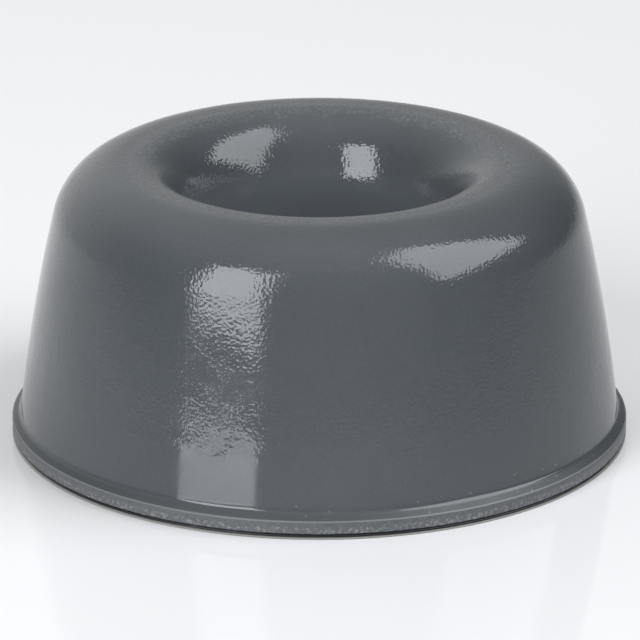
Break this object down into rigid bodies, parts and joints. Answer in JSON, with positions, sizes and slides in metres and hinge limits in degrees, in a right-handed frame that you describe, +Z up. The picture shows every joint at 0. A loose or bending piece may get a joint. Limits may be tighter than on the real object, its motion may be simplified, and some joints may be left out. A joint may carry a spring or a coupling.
{
  "type": "self-adhesive bumper foot",
  "caption": "Round recessed bumper foot of moulded polyurethane with a thin base flange, on adhesive tape, with its release liner still on.",
  "frame": {"origin": "centre of the release liner's underside, the face the foot stands on", "axes": "+Z up along the foot's axis, from the liner to the rim; the foot is round, so X and Y are alike"},
  "size_m": [0.0222, 0.0222, 0.0102],
  "materials": {
    "polyurethane": "glossy with a fine orange peel, matte on the rim's crest",
    "adhesive": "tacky, satin",
    "carrier": "smooth film",
    "liner": "satin coated paper"
  },
  "bodies": {
    "liner": {"release_liner": "liner"},
    "foot": {"bumper_body": "polyurethane", "upper_adhesive_coat": "adhesive", "carrier_film": "carrier", "lower_adhesive_coat": "adhesive"}
  },
  "joints": [
    {"name": "foot_lift", "type": "slide", "parent": "liner", "child": "foot", "axis": [0, 0, 1], "range_m": [0, 0.015]}
  ]
}
